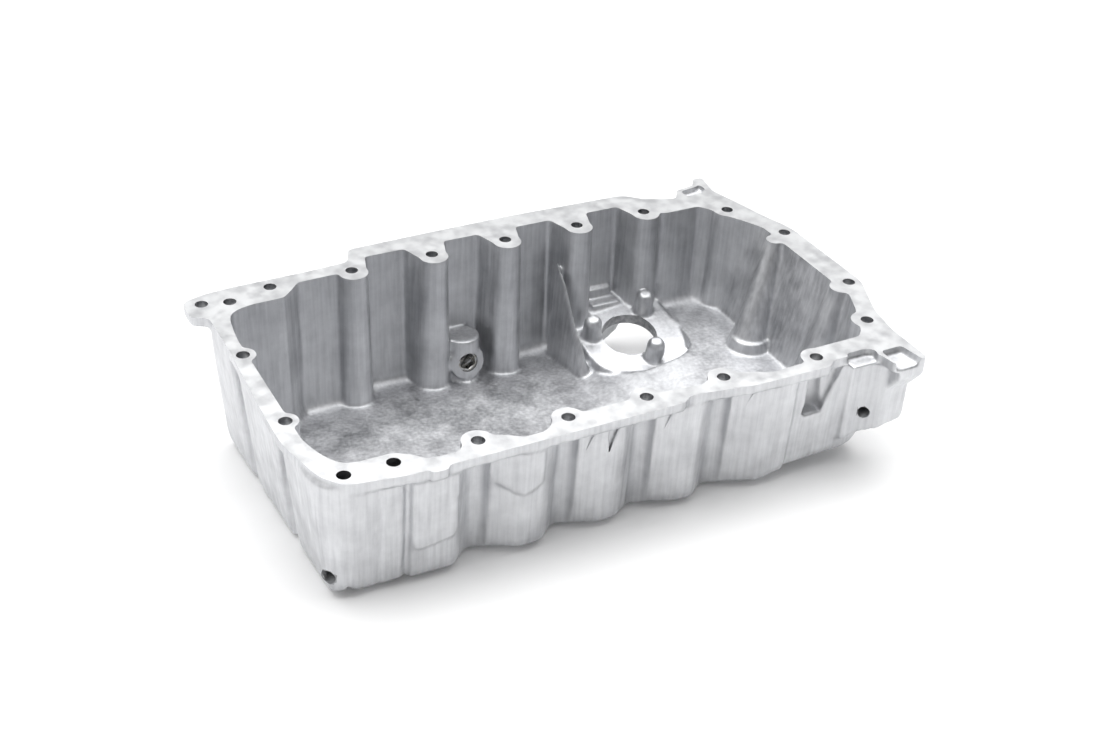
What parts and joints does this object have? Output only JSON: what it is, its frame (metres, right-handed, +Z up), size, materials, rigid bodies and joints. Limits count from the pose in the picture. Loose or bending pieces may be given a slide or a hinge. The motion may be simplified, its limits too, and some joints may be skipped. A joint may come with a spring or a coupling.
{
  "type": "engine oil pan",
  "caption": "Deep cast sump with a machined bolting flange, bolt columns inside, a stepped sloping floor, a tilted sensor seat with three screw bosses and a drain plug.",
  "frame": {"origin": "middle of the bottom of the whole box, straight under the middle of the flange's length and width", "axes": "+X along the pan from the deep end to the gearbox end, +Y across it to the side with the drain plug, +Z up, square to the machined flange face"},
  "size_m": [0.407, 0.26, 0.1054],
  "materials": {
    "cast_aluminium": "die-cast skin with a milled flange face",
    "zinc_plated_steel": "zinc plated",
    "copper_ring": "soft copper"
  },
  "bodies": {
    "root": {"oil_pan": "cast_aluminium", "drain_plug": "zinc_plated_steel", "drain_plug_washer": "copper_ring"}
  },
  "joints": []
}
